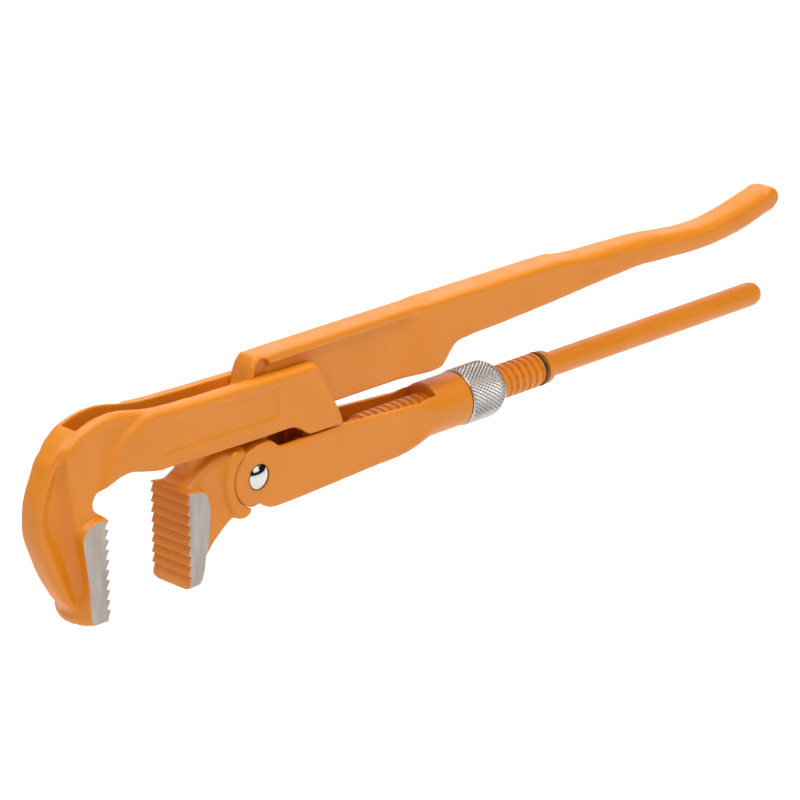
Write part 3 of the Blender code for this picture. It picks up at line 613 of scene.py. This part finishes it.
def short_handle():
    """The threaded rod: eye, neck, rolled thread, ring groove, land and plain grip."""
    n = 64
    root, crest = 4.55, 5.6

    def radius(x, a):
        if x < -34.6:
            return 3.6
        if x < -20.2:
            return 4.4
        if x <= 61.5:
            t = x / PITCH - a / (2 * math.pi)
            grow = min(1.0, max(0.0, (x + 20.2) / 2.0)) * min(1.0, max(0.0, (61.5 - x) / 0.8 + 0.25))
            return 4.4 + (root - 4.4) * min(1.0, (x + 20.2) / 0.8) + grow * (crest - root) * thread_shape(t)
        return 4.3

    xs = [-34.6 + 0.0] + list(np.linspace(-34.2, -20.4, 6)) + list(np.linspace(-20.2, 61.5, 273))
    tail = [(61.52, 4.3), (63.25, 4.3), (63.3, 5.2), (63.5, 5.5), (65.2, 5.5), (65.8, 5.3), (66.3, 4.7), (66.9, 4.25),
            (68.0, 4.1), (80.0, 4.1), (110.0, 4.1), (140.0, 4.1), (167.3, 4.1), (168.9, 3.98), (170.3, 3.5),
            (171.4, 2.6), (172.1, 1.4)]
    bm = bmesh.new()
    rings = grid_surface(bm, xs, n, radius)
    for x, r in tail:
        ring = [bm.verts.new((x, r * math.cos(2 * math.pi * k / n), ROD_Z + r * math.sin(2 * math.pi * k / n)))
                for k in range(n)]
        for k in range(n):
            bm.faces.new((rings[-1][k], rings[-1][(k + 1) % n], ring[(k + 1) % n], ring[k]))
        rings.append(ring)
    tip = bm.verts.new((172.25, 0, ROD_Z))
    foot = bm.verts.new((-34.6, 0, ROD_Z))
    for k in range(n):
        bm.faces.new((rings[-1][k], rings[-1][(k + 1) % n], tip))
        bm.faces.new((rings[0][(k + 1) % n], rings[0][k], foot))
    bmesh.ops.recalc_face_normals(bm, faces=bm.faces)
    obj = new_object("short_handle", bm)
    eye = slab(arc(FORK_PIN, 5.15, 36.0, 324.0, 48) + [(-32.0, ROD_Z - 3.0), (-32.0, ROD_Z + 3.0)], 2.85)
    boolean(obj, [eye], "UNION")
    boolean(obj, [rod(2.7, 2.7, (FORK_PIN[0], -20, FORK_PIN[1]), (FORK_PIN[0], 20, FORK_PIN[1]), 48)])
    return finish_piece(obj, "short_handle_rod", "short_handle", "short_handle", [PAINT], 40)


def nut():
    """Adjusting nut with a diamond knurl, a plain lip, a rear bevel and a threaded bore."""
    count, px = 44, 1.9
    n = count * 8
    x0, x1 = 24.3, 41.0

    def base(x):
        if x < 24.6:
            return 8.8 + (x - 24.3) / 0.3 * 0.25
        if x > 37.2:
            return 9.05 - (x - 37.2) * 0.52
        return 9.05

    def radius(x, a):
        r = base(x)
        fade = min(1.0, max(0.0, (x - 24.6) / 0.35)) * min(1.0, max(0.0, (40.3 - x) / 1.4))
        u = count * a / (2 * math.pi)
        v = (x - x0) / px
        ta = 1.0 - abs(2 * ((u + v) % 1.0) - 1.0)
        tb = 1.0 - abs(2 * ((u - v) % 1.0) - 1.0)
        h = min(ta, tb)
        return r - 0.28 * fade + fade * 0.52 * min(h * 1.3, 1.0)

    bm = bmesh.new()
    xs = [24.3, 24.45, 24.6] + [24.6 + (i + 1) * px / 8 for i in range(int((40.6 - 24.6) * 8 / px))] + [40.75]
    rings = grid_surface(bm, xs, n, radius)

    def ring(x, r, m=n):
        return [bm.verts.new((x, r * math.cos(2 * math.pi * k / m), ROD_Z + r * math.sin(2 * math.pi * k / m)))
                for k in range(m)]

    def skin(a, b):
        for k in range(len(a)):
            bm.faces.new((a[k], a[(k + 1) % len(a)], b[(k + 1) % len(b)], b[k]))

    last = rings[-1]
    for x, r in ((41.0, 6.9), (41.0, 6.6), (40.2, 5.85)):
        nxt = ring(x, r)
        skin(last, nxt)
        last = nxt
    # threaded bore that matches the rod's thread with a running gap
    inner_x = list(np.linspace(40.0, 25.2, 51))
    for x in inner_x:
        nxt = []
        for k in range(n):
            a = 2 * math.pi * k / n
            g = min(1.0, max(0.0, (40.0 - x) / 1.2)) * min(1.0, max(0.0, (x - 25.2) / 1.2))
            r = 5.85 - g * (1.0 - thread_shape(x / PITCH - a / (2 * math.pi))) * 0.75
            nxt.append(bm.verts.new((x, r * math.cos(a), ROD_Z + r * math.sin(a))))
        skin(last, nxt)
        last = nxt
    for x, r in ((24.5, 6.5), (24.3, 6.7)):
        nxt = ring(x, r)
        skin(last, nxt)
        last = nxt
    skin(last, rings[0])
    bmesh.ops.recalc_face_normals(bm, faces=bm.faces)
    obj = new_object("nut", bm)
    return finish_piece(obj, "adjusting_nut_knurled", "adjusting_nut", "adjusting_nut", [PLATED], 50)


def ring_clip():
    """Open ring of round wire."""
    bm = bmesh.new()
    wire, big, xc = 0.5, 5.2, 62.3
    angles = [math.radians(-60 + 13 + (360 - 26) * i / 96) for i in range(97)]
    loops = []
    for a in angles:
        loops.append([bm.verts.new((xc + wire * math.cos(b), (big + wire * math.sin(b)) * math.cos(a),
                                    ROD_Z + (big + wire * math.sin(b)) * math.sin(a)))
                      for b in [2 * math.pi * k / 20 for k in range(20)]])
    for a, b in zip(loops, loops[1:]):
        for k in range(20):
            bm.faces.new((a[k], a[(k + 1) % 20], b[(k + 1) % 20], b[k]))
    bm.faces.new(loops[0])
    bm.faces.new(loops[-1][::-1])
    bmesh.ops.recalc_face_normals(bm, faces=bm.faces)
    obj = new_object("ring", bm)
    return finish_piece(obj, "retaining_ring_wire", "short_handle", "retaining_ring", [DARK], 50)


PIECES = [hook_jaw(), long_handle(), sleeve(), rivet(), pin(), short_handle(), nut(), ring_clip()]


# ------------------------------------------------------------- studio
def floor_material():
    """Matt white, running into an even white well away from the object so that no horizon shows."""
    mat = bpy.data.materials.new("floor")
    mat.use_nodes = True
    nt = mat.node_tree
    sh = nt.nodes["Principled BSDF"]
    sh.inputs["Roughness"].default_value = 0.9
    noise = nt.nodes.new("ShaderNodeTexNoise")
    noise.inputs["Scale"].default_value = 3.0
    ramp = nt.nodes.new("ShaderNodeValToRGB")
    ramp.color_ramp.elements[0].color = (0.90, 0.90, 0.90, 1)
    ramp.color_ramp.elements[1].color = (0.93, 0.93, 0.93, 1)
    nt.links.new(noise.outputs["Fac"], ramp.inputs["Fac"])
    nt.links.new(ramp.outputs["Color"], sh.inputs["Base Color"])
    co = nt.nodes.new("ShaderNodeTexCoord")
    length = nt.nodes.new("ShaderNodeVectorMath")
    length.operation = "LENGTH"
    nt.links.new(co.outputs["Object"], length.inputs[0])
    far = nt.nodes.new("ShaderNodeMapRange")
    far.interpolation_type = "SMOOTHSTEP"
    far.inputs["From Min"].default_value = 0.35
    far.inputs["From Max"].default_value = 1.1
    nt.links.new(length.outputs["Value"], far.inputs["Value"])
    even = nt.nodes.new("ShaderNodeEmission")
    even.inputs["Strength"].default_value = 1.0
    mix = nt.nodes.new("ShaderNodeMixShader")
    nt.links.new(far.outputs["Result"], mix.inputs["Fac"])
    nt.links.new(sh.outputs["BSDF"], mix.inputs[1])
    nt.links.new(even.outputs["Emission"], mix.inputs[2])
    nt.links.new(mix.outputs["Shader"], nt.nodes["Material Output"].inputs["Surface"])
    return mat


bm = bmesh.new()
bmesh.ops.create_grid(bm, x_segments=1, y_segments=1, size=6.0)
floor = new_object("floor", bm)
floor.location = (0, 0, -0.056)      # below the short handle at its lowest pose
floor.data.materials.append(floor_material())

def studio_world():
    """Pale low sky, dimmer overhead, with a dark card's worth of shade on one side for the polished rivet."""
    world = bpy.data.worlds.new("studio")
    world.use_nodes = True
    nt = world.node_tree
    bg = nt.nodes["Background"]
    co = nt.nodes.new("ShaderNodeTexCoord")
    sep = nt.nodes.new("ShaderNodeSeparateXYZ")
    nt.links.new(co.outputs["Generated"], sep.inputs[0])

    def ramp(source, stops, ease=True):
        n = nt.nodes.new("ShaderNodeValToRGB")
        n.color_ramp.interpolation = "EASE" if ease else "LINEAR"
        els = n.color_ramp.elements
        while len(els) < len(stops):
            els.new(0.5)
        for e, (pos, v) in zip(els, stops):
            e.position = pos
            e.color = (v, v, v, 1)
        nt.links.new(source, n.inputs["Fac"])
        return n.outputs["Color"]

    def maths(op, a, b):
        n = nt.nodes.new("ShaderNodeMath")
        n.operation = op
        for sock, v in zip(n.inputs, (a, b)):
            if isinstance(v, float):
                sock.default_value = v
            else:
                nt.links.new(v, sock)
        return n.outputs[0]

    height = ramp(sep.outputs["Z"], [(0.0, 0.62), (0.10, 0.62), (0.34, 0.33), (1.0, 0.33)])
    toward = maths("SUBTRACT", maths("MULTIPLY", sep.outputs["X"], 0.707), maths("MULTIPLY", sep.outputs["Y"], 0.707))
    side = ramp(toward, [(0.20, 0.0), (0.50, 1.0)])
    low = ramp(sep.outputs["Z"], [(0.36, 1.0), (0.50, 0.0)])
    shade = maths("MULTIPLY", maths("MULTIPLY", side, low), 0.97)
    sky = maths("MULTIPLY", height, maths("SUBTRACT", 1.0, shade))
    path = nt.nodes.new("ShaderNodeLightPath")
    seen = path.outputs["Is Camera Ray"]         # the backdrop itself shows white
    nt.links.new(maths("MAXIMUM", sky, seen), bg.inputs["Color"])
    bg.inputs["Strength"].default_value = 1.0
    SCENE.world = world


studio_world()


def area(name, loc, target, size, power, size_y=None):
    data = bpy.data.lights.new(name, "AREA")
    data.energy = power
    data.size = size
    if size_y:
        data.shape = "RECTANGLE"
        data.size_y = size_y
    obj = bpy.data.objects.new(name, data)
    obj.location = loc
    obj.rotation_euler = (Vector(target) - Vector(loc)).to_track_quat("-Z", "Y").to_euler()
    SCENE.collection.objects.link(obj)
    return obj


area("key", (-0.10, -0.20, 1.5), (0, 0, 0.03), 1.6, 29.0)
area("fill", (0.20, -1.15, 0.75), (-0.03, 0, 0.03), 0.9, 2.9)
area("back", (0.72, 0.82, 0.78), (0, 0, 0.03), 1.2, 4.6)

# ------------------------------------------------------------- camera
cam_data = bpy.data.cameras.new("camera")
cam_data.sensor_width = 36.0
cam_data.lens = 180.0
cam_data.clip_start = 0.05
cam_data.clip_end = 50.0
camera = bpy.data.objects.new("camera", cam_data)
SCENE.collection.objects.link(camera)
AZ, EL, DIST = math.radians(-45.0), math.radians(20.4), 1.25
aim = Vector((-CENTRE_X * 0.001, 0.0, -BOTTOM_Z * 0.001))
away = Vector((math.sin(AZ) * math.cos(EL), -math.cos(AZ) * math.cos(EL), math.sin(EL)))
camera.location = aim + away * DIST
camera.rotation_euler = (-away).to_track_quat("-Z", "Y").to_euler()
SCENE.camera = camera
SCENE.view_settings.view_transform = "Standard"
SCENE.view_settings.look = "None"
